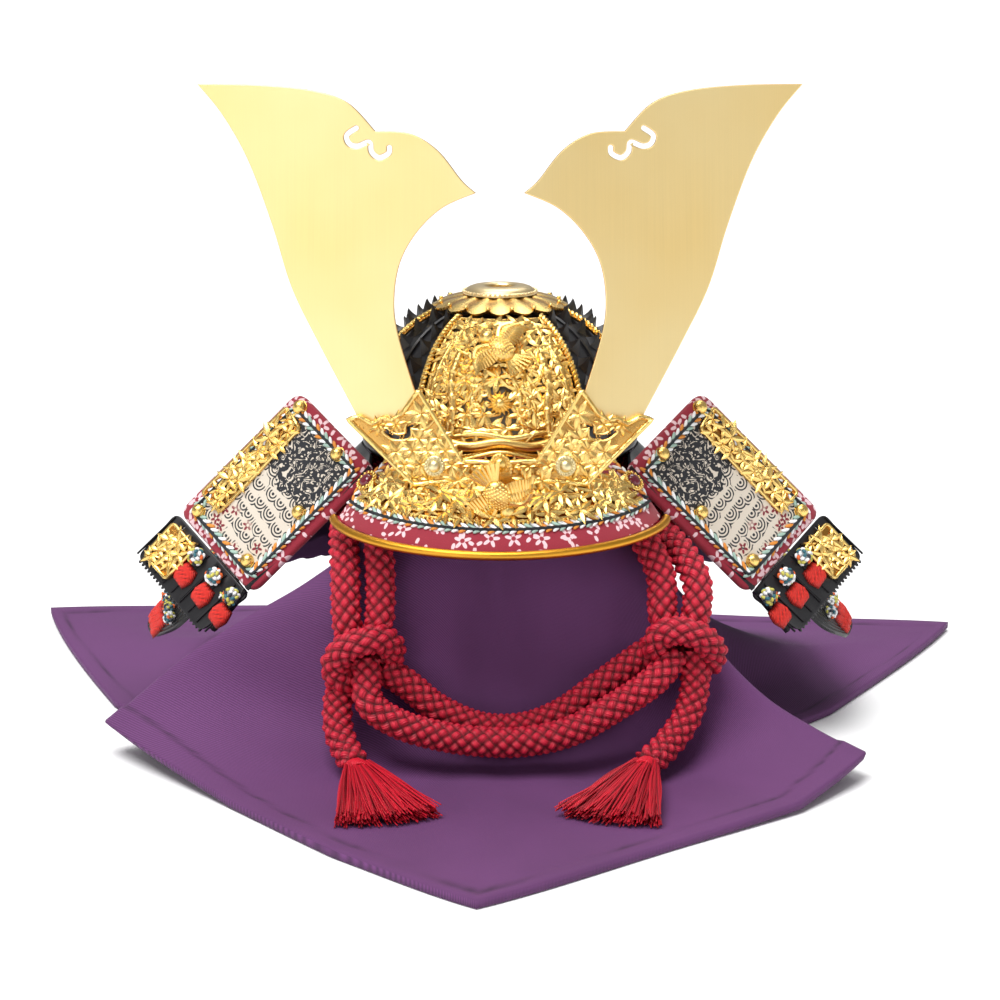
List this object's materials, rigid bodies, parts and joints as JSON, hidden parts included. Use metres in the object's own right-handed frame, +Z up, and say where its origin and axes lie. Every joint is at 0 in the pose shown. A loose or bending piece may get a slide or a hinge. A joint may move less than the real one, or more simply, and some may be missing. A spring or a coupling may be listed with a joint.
{
  "type": "miniature samurai helmet on a cloth-draped stand",
  "caption": "Miniature samurai helmet with gilt horns, pierced gilt plates, laced neck guard and crimson cord, on a stand draped with a purple cloth.",
  "frame": {"origin": "middle of the underside of the stand's foot, on the table", "axes": "+Z up, -Y to the helmet's front, +X to the right of someone facing it"},
  "size_m": [0.3578, 0.3589, 0.2255],
  "materials": {
    "gilt_brass": "bright gilt castings with darker recesses",
    "pale_gilt": "satin pale gilt sheet with polished edges",
    "silvered": "pale silvered domes",
    "black_lacquer": "satin black lacquer",
    "printed_leather": "red leather with a pale printed pattern",
    "garnet_glass": "glossy dark red",
    "purple_cloth": "fine matt weave",
    "stand_wood": "plain turned wood, hidden",
    "crimson_cord": "braided cord and loose silk strands"
  },
  "bodies": {
    "root": {"stand_post": "stand_wood", "stand_cloth": "purple_cloth", "bowl": "black_lacquer", "gold_strip_1": "gilt_brass", "gold_strip_2": "gilt_brass", "gold_strip_3": "gilt_brass", "gold_strip_4": "gilt_brass", "gold_strip_5": "gilt_brass", "gold_strip_6": "gilt_brass", "finial_base": "gilt_brass", "finial_ring": "gilt_brass", "front_plate": "gilt_brass", "visor": "printed_leather", "visor_rim": "gilt_brass", "visor_ornament": "gilt_brass", "rosette_left": "garnet_glass", "rosette_right": "garnet_glass", "horn_left": "pale_gilt", "horn_right": "pale_gilt", "horn_holder": "gilt_brass", "holder_rivet_left": "silvered", "holder_rivet_middle": "gilt_brass", "holder_rivet_right": "silvered", "holder_sparrow": "gilt_brass", "neck_lame_1": "black_lacquer", "neck_lame_2": "black_lacquer", "neck_lame_3": "black_lacquer", "wing_ornament_left": "gilt_brass", "wing_ornament_right": "gilt_brass", "small_wing_ornament_left": "gilt_brass", "small_wing_ornament_right": "gilt_brass", "wing_rivet_left_1": "gilt_brass", "wing_rivet_right_1": "gilt_brass", "wing_rivet_left_2": "gilt_brass", "wing_rivet_right_2": "gilt_brass", "wing_rivet_left_3": "gilt_brass", "wing_rivet_right_3": "gilt_brass", "wing_rivet_left_4": "gilt_brass", "wing_rivet_right_4": "gilt_brass", "wing_rivet_left_5": "gilt_brass", "wing_rivet_right_5": "gilt_brass", "tassel_left": "crimson_cord", "knot_left": "crimson_cord", "tassel_right": "crimson_cord", "knot_right": "crimson_cord", "cord_outer": "crimson_cord", "cord_inner": "crimson_cord", "cord_swag_front": "crimson_cord", "cord_swag_back": "crimson_cord", "cord_tail_left": "crimson_cord", "cord_tail_right": "crimson_cord"}
  },
  "joints": []
}
